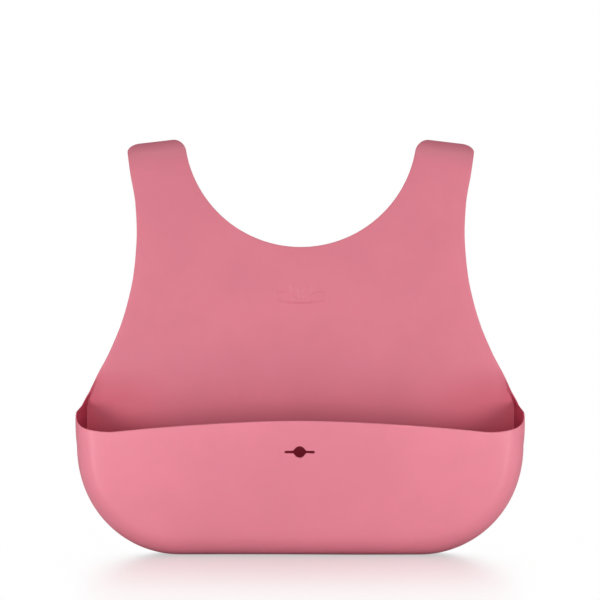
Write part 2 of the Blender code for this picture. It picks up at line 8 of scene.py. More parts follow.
import bpy
import numpy as np
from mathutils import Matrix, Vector, noise
from mathutils.geometry import delaunay_2d_cdt


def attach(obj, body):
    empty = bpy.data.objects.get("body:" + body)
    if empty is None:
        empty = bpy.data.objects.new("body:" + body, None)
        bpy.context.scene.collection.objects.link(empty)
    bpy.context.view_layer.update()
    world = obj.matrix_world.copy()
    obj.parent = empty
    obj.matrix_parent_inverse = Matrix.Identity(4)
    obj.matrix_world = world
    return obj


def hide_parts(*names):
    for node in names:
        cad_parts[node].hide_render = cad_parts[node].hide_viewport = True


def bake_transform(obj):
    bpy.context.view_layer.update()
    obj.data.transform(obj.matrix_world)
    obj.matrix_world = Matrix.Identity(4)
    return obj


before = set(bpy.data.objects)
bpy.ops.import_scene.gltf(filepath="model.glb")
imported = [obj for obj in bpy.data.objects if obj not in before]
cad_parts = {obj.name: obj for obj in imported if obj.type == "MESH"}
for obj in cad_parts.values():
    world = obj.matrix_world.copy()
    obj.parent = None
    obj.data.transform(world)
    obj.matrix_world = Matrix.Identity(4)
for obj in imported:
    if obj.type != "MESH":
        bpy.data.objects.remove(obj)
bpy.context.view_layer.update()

MM = 0.001
SHEET = 1.7
HALF = SHEET / 2
EDGE = 0.62                 # rounding of the sheet's free edges
SLOT_EDGE = 0.28            # the same round the buttonhole
EDGE_STEPS = 4

APRON_Y = 20.0
# Apron outline: z, half width
APRON_WIDTHS = (
    (58.0, 115.2), (70.0, 115.9), (77.0, 115.9), (80.0, 115.4), (83.4, 113.9), (88.8, 111.4),
    (94.1, 108.8), (104.1, 103.4), (112.7, 99.5), (121.2, 96.1), (134.0, 92.3), (146.8, 89.6),
    (159.7, 88.2), (170.2, 87.7), (185.3, 88.4), (202.3, 91.2), (216.4, 93.2))
MOTIF_Z = 134.0
NECK_R, NECK_Z = 62.2, 224.8

CREST_X, CREST_Z = -93.2, 216.4         # outer end of the left crest
CREST_TILT, CREST_R = 6.7, 14.0         # degrees; bend radius of the middle surface
CREST_CORNER = 5.5                      # rounding where the crest meets the neck
CREST_OUT, CREST_OUT_RISE = 5.5, 3.0    # rounding of the crest's outer corner, across and up
STRAP_IN_R, STRAP_OUT_R, STRAP_TIP_X = 65.0, 92.0, 8.0
STRAP_HOLE_D, STRAP_HOLES, STRAP_HOLE_PITCH, STUD_HOLE_D = 7.0, 4, 15.0, 6.4
SEAM_UP = -2.5                          # where the straps' skins meet the apron's, below the bend

POCKET_Y, POCKET_BULGE, BULGE_FOOT_Z = -24.0, 9.0, 9.0
CORNER_X, CORNER_Z, CORNER_AX, CORNER_AZ = 64.0, 58.0, 56.0, 58.0   # ellipse centre and half axes
DRAFT, FRONT_FILLET, FILLET_DEPTH, BACK_FILLET = 4.0, 10.0, 16.0, 1.5
WALL_INSET, WALL_INSET_Z = 0.8, 70.0    # how far the side wall draws in at CORNER_Z, and from where
TIP_Z, RIM_Z, RIM_LOW_Z, RIM_LOW_X = 75.8, 72.5, 66.0, 101.0
WALL_Z, LIP_Z = 79.3, 85.0              # side wall's nominal top at the apron, and with its final flare
LIP_END_Z = 98.0                        # where its lip dies into the apron's edge
BUTTONHOLE_Z, BUTTONHOLE_D = 55.8, 6.3
BUTTONHOLE_SLIT, BUTTONHOLE_SLIT_W = 16.1, 1.4

STUD_HEAD_D, STUD_HEAD_H, STUD_SHANK_D, STUD_STANDOFF = 13.0, 2.6, 5.6, 2.3
RETAINER_D, RETAINER_H, RETAINER_BORE_D, RETAINER_GAP = 14.0, 1.6, 6.3, 0.3

# Unit vectors along the left crest (toward the neck) and square to it (up), as x, z
ACROSS = (math.cos(math.radians(CREST_TILT)), math.sin(math.radians(CREST_TILT)))
UPWARD = (-ACROSS[1], ACROSS[0])
FOLD_X = CREST_X - UPWARD[0] * (CREST_R + HALF)     # origin on the line where the bend starts
FOLD_Z = CREST_Z - UPWARD[1] * (CREST_R + HALF)
CREST_OUT_R = math.hypot(CREST_X + CREST_OUT, CREST_Z + CREST_OUT * ACROSS[1] - NECK_Z)
BEND_LENGTH = math.pi * CREST_R


def smooth(t):
    t = min(max(t, 0.0), 1.0)
    return t * t * (3 - 2 * t)


def steps(first, last, count):
    return [first + (last - first) * i / count for i in range(count + 1)]


def apron_half(z):
    """The apron's half width at z: a monotone cubic through APRON_WIDTHS."""
    table = APRON_WIDTHS
    last = len(table) - 1
    gaps = [table[i + 1][0] - table[i][0] for i in range(last)]
    slopes = [(table[i + 1][1] - table[i][1]) / gaps[i] for i in range(last)]
    tangents = [slopes[0]]
    for before, after in zip(slopes, slopes[1:]):
        tangents.append(0.0 if before * after <= 0 else 2 * before * after / (before + after))
    tangents.append(slopes[-1])
    z = min(max(z, table[0][0]), table[-1][0])
    i = max(k for k in range(last) if table[k][0] <= z)
    t = (z - table[i][0]) / gaps[i]
    return ((2 * t ** 3 - 3 * t ** 2 + 1) * table[i][1]
            + (t ** 3 - 2 * t ** 2 + t) * gaps[i] * tangents[i]
            + (3 * t ** 2 - 2 * t ** 3) * table[i + 1][1]
            + (t ** 3 - t ** 2) * gaps[i] * tangents[i + 1])


# ---- the fold over the left crest ----------------------------------------------------------------
def flat(across, up):
    """A point of the unfolded sheet, as x, z."""
    return (FOLD_X + across * ACROSS[0] + up * UPWARD[0],
            FOLD_Z + across * ACROSS[1] + up * UPWARD[1])


def crest_frame(x, z):
    """The reverse of flat: distances across and up from the fold's origin."""
    x, z = x - FOLD_X, z - FOLD_Z
    return x * ACROSS[0] + z * ACROSS[1], x * UPWARD[0] + z * UPWARD[1]


def fold(x, z):
    """A point of the unfolded sheet, brought to its place in space."""
    across, along = crest_frame(x, z)
    if along <= 0:
        return (x, APRON_Y, z)
    if along < BEND_LENGTH:
        up = CREST_R * math.sin(along / CREST_R)
        back = CREST_R * (1 - math.cos(along / CREST_R))
    else:
        up, back = -(along - BEND_LENGTH), 2 * CREST_R
    folded_x, folded_z = flat(across, up)
    return (folded_x, APRON_Y + back, folded_z)


def ring_across(up, radius):
    """Where a circle about the neck's centre crosses the line at height up, as distance across."""
    x, z = flat(0.0, up)
    z -= NECK_Z
    middle = x * ACROSS[0] + z * ACROSS[1]
    return -middle - math.sqrt(middle * middle - (x * x + z * z - radius * radius))


def strap_edges(along):
    """Neck side and outer edge of the strap, across, at a distance past the start of the bend."""
    angle = max(0.0, along / CREST_R)
    up = along if along < 0 else CREST_R * math.sin(angle)
    left = CREST_R - up
    notch, outer = 0.0, 0.0
    if left < CREST_CORNER:
        notch = CREST_CORNER - math.sqrt(CREST_CORNER ** 2 - (CREST_CORNER - left) ** 2)
    if left < CREST_OUT_RISE:
        outer = CREST_OUT * (1 - math.sqrt(max(0.0, 1 - (1 - left / CREST_OUT_RISE) ** 2)))
    if angle <= math.pi / 2:
        neck_radius = NECK_R + notch
        low, high = CREST_Z - 60, CREST_Z + 6
        for _ in range(40):                 # find the apron's edge at this height by bisection
            z = (low + high) / 2
            x = -apron_half(z)
            if crest_frame(x, z)[1] < up:
                low = z
            else:
                high = z
        outer_across = crest_frame(x, z)[0] + outer
    else:
        past = angle - math.pi / 2
        run = past * math.exp(-past / 0.35)     # eases the corners' slope away behind the crest
        neck_radius = NECK_R + CREST_CORNER + run * math.sqrt(CREST_R * CREST_CORNER)
        outer_run = run * CREST_OUT * math.sqrt(CREST_R / CREST_OUT_RISE)
        outer_across = ring_across(up, CREST_OUT_R - outer_run)
    return ring_across(up, neck_radius), outer_across


# ---- plane regions: points are (x, z) ------------------------------------------------------------
def key(x, z):
    return round(x, 4), round(z, 4)


def mirror(points):
    return [(-x, z) for x, z in points]


def inside(points, outline):
    points, starts = np.asarray(points, float), np.asarray(outline, float)
    hit = np.zeros(len(points), bool)
    for (x0, z0), (x1, z1) in zip(starts, np.roll(starts, 1, 0)):
        if z0 != z1:
            spans = (z0 > points[:, 1]) != (z1 > points[:, 1])
            hit ^= spans & (points[:, 0] < (x1 - x0) * (points[:, 1] - z0) / (z1 - z0) + x0)
    return hit


def clearance(points, outline):
    """Distance from each point to the outline."""
    points, starts = np.asarray(points, float), np.asarray(outline, float)
    best = np.full(len(points), 1e9)
    for start, end in zip(starts, np.roll(starts, -1, 0)):
        side = end - start
        t = np.clip(((points - start) @ side) / max(side @ side, 1e-12), 0, 1)
        away = np.linalg.norm(points - (start + t[:, None] * side), axis=1)
        best = np.minimum(best, away)
    return best


def grid(outline, holes, pitch, margin, box=None, skip=None):
    """Evenly spread points inside a region, in staggered rows. box is x0, z0, x1, z1."""
    corners = np.asarray(outline, float)
    x0, z0, x1, z1 = box or (*corners.min(0), *corners.max(0))
    spread = []
    for j in range(int((z1 - z0) / (pitch * 0.866)) + 1):
        z = z0 + j * pitch * 0.866
        for i in range(int((x1 - x0) / pitch) + 2):
            spread.append((x0 + (i - 0.5 * (j % 2)) * pitch, z))
    spread = np.array(spread)
    keep = inside(spread, outline) & (clearance(spread, outline) > margin)
    for hole in holes:
        keep &= ~inside(spread, hole) & (clearance(spread, hole) > margin)
    if box:
        keep &= (spread[:, 0] >= x0) & (spread[:, 0] <= x1)
    if skip is not None:
        keep &= ~np.array([skip(x, z) for x, z in spread])
    return [tuple(v) for v in spread[keep]]


def region(outline, holes=(), points=(), rows=()):
    """Triangulate an outline less its holes, through free points and along rows of points."""
    nodes, edges, index = [], [], {}

    def add(point):
        if key(*point) not in index:
            index[key(*point)] = len(nodes)
            nodes.append(point)
        return index[key(*point)]

    for loop in (outline, *holes):
        ids = [add(point) for point in loop]
        edges += [(i, j) for i, j in zip(ids, ids[1:] + ids[:1]) if i != j]
    for row in rows:
        ids = [add(point) for point in row]
        edges += [(i, j) for i, j in zip(ids, ids[1:]) if i != j]
    for point in points:
        add(point)
    found = delaunay_2d_cdt([Vector(point) for point in nodes], edges, [], 0, 1e-5)
    verts, _, faces, origin = found[:4]
    verts = [nodes[source[0]] if source else (v.x, v.y) for v, source in zip(verts, origin)]
    where = np.array(verts)
    tris = np.array([list(face) for face in faces])
    p0, p1, p2 = where[tris[:, 0]], where[tris[:, 1]], where[tris[:, 2]]
    area = ((p1[:, 0] - p0[:, 0]) * (p2[:, 1] - p0[:, 1])
            - (p1[:, 1] - p0[:, 1]) * (p2[:, 0] - p0[:, 0]))
    middle = (p0 + p1 + p2) / 3
    keep = (np.abs(area) > 1e-7) & inside(middle, outline)
    for hole in holes:
        keep &= ~inside(middle, hole)
    return verts, [tuple(int(i) for i in (tri if turn > 0 else tri[::-1]))
                   for tri, turn, kept in zip(tris, area, keep) if kept]


def merge(parts):
    """Join (points, faces) parts, welding points that coincide."""
    merged, index, faces = [], {}, []
    for points, part_faces in parts:
        ids = []
        for point in points:
            place = tuple(round(c, 3) for c in point)
            if place not in index:
                index[place] = len(merged)
                merged.append(point)
            ids.append(index[place])
        for face in part_faces:
            welded = [ids[i] for i in face]
            if len(set(welded)) == len(welded):
                faces.append(tuple(welded))
    return merged, faces


# ---- a thick sheet with rounded edges ------------------------------------------------------------
def make(name, verts, faces, material, sharp=50):
    mesh = bpy.data.meshes.new(name)
    mesh.from_pydata([tuple(Vector(v) * MM) for v in verts], [], faces)
    mesh.materials.append(material)
    mesh.validate()
    mesh.shade_smooth()
    mesh.set_sharp_from_angle(angle=math.radians(sharp))
    mesh.update()
    made = bpy.data.objects.new(name, mesh)
    bpy.context.collection.objects.link(made)
    return made


def ripple(point):
    """The slight waviness of a soft moulding, the same for every piece."""
    place = Vector(point) * 0.017
    fine = place * 2.7 + Vector((5, 3, 1))
    return 0.16 * noise.noise(place) + 0.05 * noise.noise(fine)


def vertex_normals(points, faces):
    """Normals weighted by the faces' angles."""
    normals = [Vector((0, 0, 0)) for _ in points]
    for face in faces:
        for k in range(len(face)):
            before, here, after = (points[face[j % len(face)]] for j in (k - 1, k, k + 1))
            turn = (here - before).cross(after - here)
            if turn.length > 1e-12:
                corner = (after - here).angle(before - here, 0.0)
                normals[face[k]] += turn.normalized() * corner
    return [normal.normalized() for normal in normals]


def none(point):
    return 0.0


def skin(name, points, faces, material, seam, front=none, back=none, edge=lambda point: EDGE,
         wave=1.0, painted_shade=lambda point, side: (0.0, 0.0, 0.0), shift=none):
    """Thicken a middle surface. Front is the side its normals face.

    seam tells which border edges are cut square, front and back add thickness, edge is the rounding,
    shift moves the middle along the normal and the shading argument gives the shade painted into
    the colour on each side (1 or -1)."""
    used = sorted({i for face in faces for i in face})
    number = {i: k for k, i in enumerate(used)}
    faces = [tuple(number[i] for i in face) for face in faces]
    middle = [Vector(points[i]) for i in used]
    normals = vertex_normals(middle, faces)
    middle = [p + n * (wave * ripple(p) + shift(p)) for p, n in zip(middle, normals)]
    halves = {pair for face in faces for pair in zip(face, face[1:] + face[:1])}
    border = sorted(pair for pair in halves if pair[::-1] not in halves)
    is_seam = {(i, j): seam((middle[i] + middle[j]) / 2) for i, j in border}
    outs = {}                               # outward directions at each free border point
    for start, end in border:
        if not is_seam[(start, end)]:
            for i in (start, end):
                outward = (middle[end] - middle[start]).cross(normals[i])
                if outward.length > 1e-9:
                    outs.setdefault(i, []).append(outward.normalized())

    verts, chains = [], []                  # a chain runs from a point's front to its back
    for i, (point, normal) in enumerate(zip(middle, normals)):
        first = len(verts)
        rise, drop = HALF + front(point), HALF + back(point)
        if i in outs:
            outward = sum(outs[i], Vector((0, 0, 0)))
            outward = outward.normalized() if outward.length > 1e-6 else outs[i][0]
            outward = (outward - normal * outward.dot(normal)).normalized()
            miter = min(1.6, 1 / max(0.5, outs[i][0].dot(outward)))
            radius = min(edge(point), 0.96 * rise, 0.96 * drop)
            base = point - outward * radius * miter
            middle[i] = base
            for side, thick in ((1, rise), (-1, drop)):
                for k in range(EDGE_STEPS + 1)[::side]:
                    angle = math.pi / 2 * k / EDGE_STEPS
                    verts.append(base + normal * (side * (thick - radius + radius * math.cos(angle)))
                                 + outward * (radius * miter * math.sin(angle)))
        else:
            verts += [point + normal * rise, point - normal * drop]
        chains.append(list(range(first, len(verts))))

    walls = [tuple(chains[i][0] for i in face) for face in faces]
    walls += [tuple(chains[i][-1] for i in reversed(face)) for face in faces]
    for start, end in border:
        here, there = chains[start], chains[end]
        if is_seam[(start, end)]:
            walls.append((there[0], here[0], here[-1], there[-1]))
            if start in outs:
                walls.append(tuple(here))
            if end in outs:
                walls.append(tuple(reversed(there)))
        else:
            for k in range(len(here) - 1):
                walls.append((there[k], here[k], here[k + 1], there[k + 1]))
    made = make(name, verts, walls, material)
    # Shade painted into the colour, per point and side, for the material to read
    shading = []
    for point, chain in zip(middle, chains):
        for k in range(len(chain)):
            shading += painted_shade(point, 1 if k < len(chain) / 2 else -1)
    layer = made.data.attributes.new("painted_shade", "FLOAT_VECTOR", "POINT")
    layer.data.foreach_set("vector", shading)
    return made


# ---- the pocket's walls --------------------------------------------------------------------------
BULGE_EDGE_SPAN = 110       # half span that sets the bulge's slope at the front wall's edge
SPAN = CORNER_X + CORNER_AX - HALF - FRONT_FILLET * (
    1 - math.sin(math.atan(2 * POCKET_BULGE / BULGE_EDGE_SPAN)))
FILLET_COLS, WALL_COLS, STUB_COLS, BACK_COLS = 16, 16, 2, 10
SEAM_COL = FILLET_COLS + WALL_COLS      # where the pocket's skin meets the apron's
ARC_COL = SEAM_COL + STUB_COLS          # where the wall starts to turn into the apron
STUB = 3.0
SIDE_ROWS, CORNER_ROWS, FOOT_ROWS = 18, 36, 14


def bulge(x, z):
    rise = max(0.0, (z - BULGE_FOOT_Z) / (RIM_Z - BULGE_FOOT_Z))
    return POCKET_BULGE * (1 - (x / SPAN) ** 2) * rise * rise * (1.9 - 0.9 * rise)


def front_y(x, z):
    return POCKET_Y - bulge(x, z)


def outer_half(z):
    below = (WALL_INSET_Z - z) / (WALL_INSET_Z - CORNER_Z)
    return CORNER_X + CORNER_AX - (WALL_INSET * below ** 2 if z < WALL_INSET_Z else 0.0)


# A row number runs 1..0 down the side wall, 0..-1 round the corner, -1..-2 along the foot to the middle.
def footing(row):
    """How a row places an outset as (x, z), how far its wall leans and how deep its fillet is."""
    if row >= 0:
        z = CORNER_Z + row * (RIM_LOW_Z + 1.0 - CORNER_Z)
        wide = outer_half(z) - HALF
        return lambda out: (wide + out, z), outer_half(z) - apron_half(z), FILLET_DEPTH
    if row >= -1:
        angle = -row * math.pi / 2
        cos, sin = math.cos(angle), math.sin(angle)
        depth = FRONT_FILLET + (FILLET_DEPTH - FRONT_FILLET) * cos ** 2
        return (lambda out: (CORNER_X + (CORNER_AX - HALF + out) * cos,
                             CORNER_Z - (CORNER_AZ - HALF + out) * sin)), DRAFT * cos ** 2, depth
    return lambda out: (CORNER_X * (2 + row), HALF - out), 0.0, FRONT_FILLET


def section(row):
    """A row's cross-section as (outset, y), from the front wall's edge, round the fillet, back along
    the wall and into the apron's plane; then the wall's start, its end and its tilt."""
    place, lean, depth = footing(row)
    probe = 0.01
    slope = 0.0
    for _ in range(3):                      # match the fillet's start to the bulge's slope
        out = FRONT_FILLET * (math.sin(slope) - 1)
        slope = math.atan(max(0.0, (bulge(*place(out)) - bulge(*place(out + probe))) / probe))
    start_y = front_y(*place(FRONT_FILLET * (math.sin(slope) - 1)))

    def fillet(angle):
        return (FRONT_FILLET * (math.sin(angle) - 1),
                start_y + depth * (math.cos(slope) - math.cos(angle)))

    tilt = math.atan2(lean, APRON_Y - start_y - depth)
    for _ in range(4):                      # match the fillet's end to the wall's tilt
        last = math.pi / 2 + math.atan(math.tan(tilt) * depth / FRONT_FILLET)
        wall_out, wall_y = fillet(last)
        tilt = math.atan2(wall_out + lean, APRON_Y - wall_y)
    line = [fillet(angle) for angle in steps(slope, last, FILLET_COLS)]
    back_y = APRON_Y - BACK_FILLET * (1 - math.sin(tilt))
    stub_y = back_y - STUB
    for y in steps(wall_y, stub_y, WALL_COLS)[1:] + steps(stub_y, back_y, STUB_COLS)[1:]:
        line.append((wall_out - (y - wall_y) * math.tan(tilt), y))
    back_out = line[-1][0]
    for left in steps(1.0, 0.0, BACK_COLS)[1:]:
        angle = math.pi - (math.pi / 2 - tilt) * left * left
        line.append((back_out + BACK_FILLET * (math.sin(angle) - math.cos(tilt)),
                     back_y + BACK_FILLET * (-math.sin(tilt) - math.cos(angle))))
    return line, wall_out, wall_y, back_y, tilt


def rim_reach(row, line):
    """Distances past RIM_LOW_X, along the section, at which the fillet starts and ends."""
    start = footing(row)[0](0.0)[0] + line[0][0] - RIM_LOW_X
    return start, start + sum(math.hypot(p[0] - q[0], p[1] - q[1])
                              for p, q in zip(line[:FILLET_COLS], line[1:FILLET_COLS + 1]))


def profile(row):
    """A row's points in space."""
    line, wall_out, wall_y, back_y, tilt = section(row)
    if row < 0:
        place = footing(row)[0]
        inset = WALL_INSET * math.cos(-row * math.pi / 2) ** 6 if row >= -1 else 0.0
        return [(place(out)[0] - inset, y, place(out)[1]) for out, y in line]
    start, full = rim_reach(row, line)
    turn = math.pi / 2 - tilt
    points, run = [], 0.0
    for i, (out, y) in enumerate(line):
        if i:
            run += math.hypot(out - line[i - 1][0], y - line[i - 1][1])
        along = (y - wall_y) / (back_y - wall_y)
        if i <= FILLET_COLS:
            top = RIM_LOW_Z + (TIP_Z - RIM_LOW_Z) * ((start + run) / full) ** 2
        elif i <= ARC_COL:
            top = TIP_Z + (WALL_Z - TIP_Z) * along + (LIP_Z - WALL_Z) * along ** 9
        else:
            top = LIP_Z
        z = CORNER_Z + row * (top - CORNER_Z)
        x = outer_half(z) - HALF + (out if i <= FILLET_COLS else wall_out)
        base = apron_half(z) - (BACK_FILLET + HALF) * math.sin(turn)
        if i > ARC_COL:
            x = base + BACK_FILLET * math.sin(turn * (1 - (i - ARC_COL) / BACK_COLS) ** 2)
        elif i > FILLET_COLS:
            x = x + (base + BACK_FILLET * math.sin(turn) - x) * along
        points.append((x, y, z))
    return points


TOP_SECTION = section(1.0)
RIM_RUN = rim_reach(1.0, TOP_SECTION[0])[1]
LIP_TURN = math.pi / 2 - TOP_SECTION[-1]    # how far the wall's top turns into the apron

# Rows run from the right wall's top, under the pocket, to the left wall's top.
right_rows = [profile(row) for row in (
    steps(1.0, 0.0, SIDE_ROWS)[:-1] + [-v for v in steps(0.0, 1.0, CORNER_ROWS)]
    + [-1 - v for v in steps(0.0, 1.0, FOOT_ROWS)][1:])]
ROWS = right_rows + [[(-x, y, z) for x, y, z in row] for row in right_rows[:-1]][::-1]
TOP_EDGE = ROWS[0]
TOP_YZ = sorted((y, z) for x, y, z in TOP_EDGE)


def rim_z(x):
    x = abs(x)
    if x < RIM_LOW_X:
        return RIM_Z - (RIM_Z - RIM_LOW_Z) * (x / RIM_LOW_X) ** 1.7
    return RIM_LOW_Z + (TIP_Z - RIM_LOW_Z) * ((x - RIM_LOW_X) / RIM_RUN) ** 2


def band(first, last):
    """The surface of ROWS between two columns."""
    width = last - first + 1
    points = [point for row in ROWS for point in row[first:last + 1]]
    corners = [i * width + j for i in range(len(ROWS) - 1) for j in range(width - 1)]
    return points, [(c, c + width, c + width + 1, c + 1) for c in corners]


def column_points(column):
    """The points of one column, found by their x, z."""
    return {key(row[column][0], row[column][2]): row[column] for row in ROWS}


# ---- thickness and painted shade shared by pocket and apron --------------------------------------
def top_edge(p):
    """Whether a point lies on the free top edge of a side wall."""
    return p.z > 60 and any(
        abs(p.y - (a[1] + b[1]) / 2) < 0.25 and abs(p.z - (a[2] + b[2]) / 2) < 0.45
        and abs(abs(p.x) - (a[0] + b[0]) / 2) < 1.0 for a, b in zip(TOP_EDGE, TOP_EDGE[1:]))


def taper(p):
    """The side walls thin toward their free edge."""
    if p.z < 62 or abs(p.x) < 104 or p.y > APRON_Y - 0.02:
        return 0.0
    below_top = float(np.interp(p.y, [y for y, z in TOP_YZ], [z for y, z in TOP_YZ])) - p.z
    fade = smooth((APRON_Y - p.y) / 0.8) * smooth((abs(p.x) - 104) / 8)
    return -0.50 * HALF * fade * (1 - smooth(below_top / 6.0))


def lip_turn(z):
    """How far the sheet still curls forward at its side edge, above the wall's top."""
    return LIP_TURN * (min(max((LIP_END_Z - z) / (LIP_END_Z - LIP_Z), 0.0), 1.0)) ** 2


def inner_painted_shade(p):
    """Shade painted on the pocket's inner faces, as three amounts: painted shade scaled by how closely
    other faces crowd the point (negative paints it paler, as painted light), painted shade of its own,
    and a redder painted bounce light, also scaled by crowding."""
    x, y, z = abs(p.x), p.y, p.z
    if y > APRON_Y - 2.2:                   # the apron
        over = x - (apron_half(z) - (BACK_FILLET + HALF) * math.sin(lip_turn(z)))
        if z < 66 or z > LIP_END_Z:
            over = -9.0
        # On the apron inside the pocket: painted shade scaled by crowding, lower down, which turns to
        # painted light (paler) toward the side edges; painted shade on the curled side edge, in a band
        # just above the rim and deep down; and a redder painted bounce light
        side = smooth((x - 50) / 55)
        low = 1 - smooth((z - 84) / 34)
        painted_curl_shade = 0.80 * smooth((over - 0.6 + smooth((z - 78) / 8)) / 0.8)
        painted_rim_shade = ((0.20 * smooth((x - 66) / 38) + 0.14 * smooth((x - 104) / 6))
                     * smooth((z - 74) / 8) * (1 - smooth((z - 88) / 14)))
        painted_low_shade = 0.85 * smooth((68 - z) / 16)
        return ((0.42 - 0.72 * side) * low, max(painted_curl_shade, painted_rim_shade, painted_low_shade),
                (0.62 + 0.3 * side) * (1 - smooth((z - 82) / 26)))
    # On the pocket's own inner faces: painted shade, heavier on the inside of the side walls and darker
    # low down behind the front wall
    wall = smooth((x - 96) / 14) * smooth((y + 26) / 12) * smooth((z - 30) / 30)
    return (1.0 + wall, max(0.80 * wall, 0.6 * smooth((58 - z) / 25)), 0.0)


# ---- pocket --------------------------------------------------------------------------------------
def slot_outline():
    """The buttonhole: a round eye that flares into a slit on each side."""
    radius, half_slit, reach = BUTTONHOLE_D / 2, BUTTONHOLE_SLIT_W / 2, BUTTONHOLE_SLIT / 2
    eye_angle = math.asin(half_slit / radius) + 0.30
    eye_x, eye_z = radius * math.cos(eye_angle), radius * math.sin(eye_angle)
    flare_x = eye_x + 1.1
    # Half the outline, about the eye's centre: right tip, upper edge, eye and upper left edge
    half = [(reach - half_slit + half_slit * math.cos(angle), half_slit * math.sin(angle))
            for angle in steps(-math.pi / 2, math.pi / 2, 10)]
    half += [(reach - half_slit + (flare_x - reach + half_slit) * t, half_slit)
             for t in steps(0.0, 1.0, 6)[:-1]]
    half += [(flare_x + (eye_x - flare_x) * t, half_slit + (eye_z - half_slit) * (t * t))
             for t in steps(0.0, 1.0, 5)[:-1]]
    half += [(radius * math.cos(angle), radius * math.sin(angle))
             for angle in steps(eye_angle, math.pi - eye_angle, 20)]
    half += [(-(eye_x + (flare_x - eye_x) * t), half_slit + (eye_z - half_slit) * (1 - t) ** 2)
             for t in steps(0.0, 1.0, 5)[1:]]
    half += [(-(flare_x + (reach - half_slit - flare_x) * t), half_slit)
             for t in steps(0.0, 1.0, 6)[1:-1]]
    clean = []
    for side in (1, -1):
        for x, z in half:
            x, z = side * x, BUTTONHOLE_Z + side * z
            if not clean or math.hypot(x - clean[-1][0], z - clean[-1][1]) > 0.05:
                clean.append((x, z))
    return clean


def pocket_edge(p):
    return SLOT_EDGE if abs(p.x) < 10 and abs(p.z - BUTTONHOLE_Z) < 5 else EDGE


def pocket_painted_shade_and_sheen(p, side):
    """Painted shade on the inner side, as for the apron; outside, a painted sheen that makes the front
    face a touch paler than the chest.
    """
    if side < 0:
        return inner_painted_shade(p)
    return (0.0, -0.06 * smooth((-p.y - 8) / 12) * smooth((p.z - 6) / 12), 0.0)


def build_pocket():
    hole = slot_outline()
    edge = [(row[0][0], row[0][2]) for row in ROWS]
    reach = abs(edge[0][0])
    outline = edge + [(x, rim_z(x)) for x in steps(-reach, reach, 110)][1:-1]
    points = grid(outline, [hole], 3.0, 1.7,
                  skip=lambda x, z: abs(x) < 13 and abs(z - BUTTONHOLE_Z) < 7.5)
    points += grid(outline, [hole], 1.1, 0.75,
                   box=(-12.6, BUTTONHOLE_Z - 7, 12.6, BUTTONHOLE_Z + 7))
    plane, tris = region(outline, [hole], points)
    known = column_points(0)
    front = [known.get(key(x, z), (x, front_y(x, z), z)) for x, z in plane]
    points, faces = merge([band(0, SEAM_COL), (front, tris)])
    return skin("pocket_skin", points, faces, rose,
                seam=lambda p: p.y > 9.0 and not top_edge(p), front=taper, back=taper,
                edge=pocket_edge, painted_shade=pocket_painted_shade_and_sheen, shift=lambda p: -taper(p))


# ---- apron: back of the pocket, chest, and the tabs up to the bend -------------------------------
# Leaves pressed into the chest: centre x, z from MOTIF_Z, length, width, turn in radians
LEAVES = ((-8.5, 2.2, 10.5, 4.6, 2.75), (8.5, 2.2, 10.5, 4.6, 0.39),
          (-3.2, 4.6, 9.0, 3.9, 2.05), (3.2, 4.6, 9.0, 3.9, 1.09))
MOTIF_DEPTH = 0.50


def leaf(x, z, centre_x, centre_z, length, width, turn):
    """Distance-like value inside a pointed oval, positive inside."""
    cos, sin = math.cos(turn), math.sin(turn)
    x, z = x - centre_x, z - centre_z
    along, aside = x * cos + z * sin, -x * sin + z * cos
    taken = 1 - (2 * along / length) ** 2
    return (width / 2) * taken - abs(aside) if taken > 0 else -1.0


def motif(p):
    """A plain sprig of leaves on a stem, pressed a fraction of a millimetre into the chest."""
    x, z = p.x, p.z - MOTIF_Z
    if abs(x) > 17 or abs(z) > 10:
        return 0.0
    stem = 0.55 - math.hypot(max(abs(x) - 12.0, 0.0), z + 1.6 - 0.012 * x * x)
    best = max(-1.0, stem, *(leaf(x, z, *shape) for shape in LEAVES))
    return -MOTIF_DEPTH * smooth((best + 0.15) / 0.6)


def curl_x(z):
    """Where the curl of the side edge starts."""
    turn = lip_turn(z)
    return (apron_half(z) - (BACK_FILLET + HALF) * math.sin(turn)
            + EDGE * (math.sin(turn) + math.cos(turn) - 1) * (z > LIP_Z))


def curl(x, z):
    """A point of the apron, unrolled to x, brought to its place on the curled edge."""
    over = abs(x) - curl_x(z)
    if z <= LIP_Z - 0.01 or z >= LIP_END_Z or over <= 0:
        return (x, APRON_Y, z)
    turn = over / BACK_FILLET
    return (math.copysign(curl_x(z) + BACK_FILLET * math.sin(turn), x),
            APRON_Y - BACK_FILLET * (1 - math.cos(turn)), z)


def at_tab_end(p):
    """Whether a point lies on the line where strap and apron meet."""
    return abs(crest_frame(-abs(p.x), p.z)[1] - SEAM_UP) < 0.4


def apron_seam(p):
    if p.z > 190:
        return at_tab_end(p)
    return p.y < APRON_Y - 2.0 and not top_edge(p)


def apron_points(outline):
    """Free points: an even spread, rows across the joint, and fine patches at motif and lips."""
    points = grid(outline, [], 4.2, 2.0, skip=lambda x, z: (
        95.0 < z < 114.5 or (abs(x) < 17.5 and abs(z - MOTIF_Z) < 10.5)
        or (83.5 < z < 96 and abs(x) > 103)))
    for z in steps(95.6, 114.0, 13):
        half = apron_half(z) - 3.2
        points += [(x, z) for x in steps(-half, half, 44)]
    points += grid(outline, [], 0.62, 0.5, box=(-16.6, MOTIF_Z - 9.6, 16.6, MOTIF_Z + 9.6))
    for low, high in ((103.5, 116.0), (-116.0, -103.5)):
        points += grid(outline, [], 0.8, 0.95, box=(low, LIP_Z, high, 95.4))
    return points


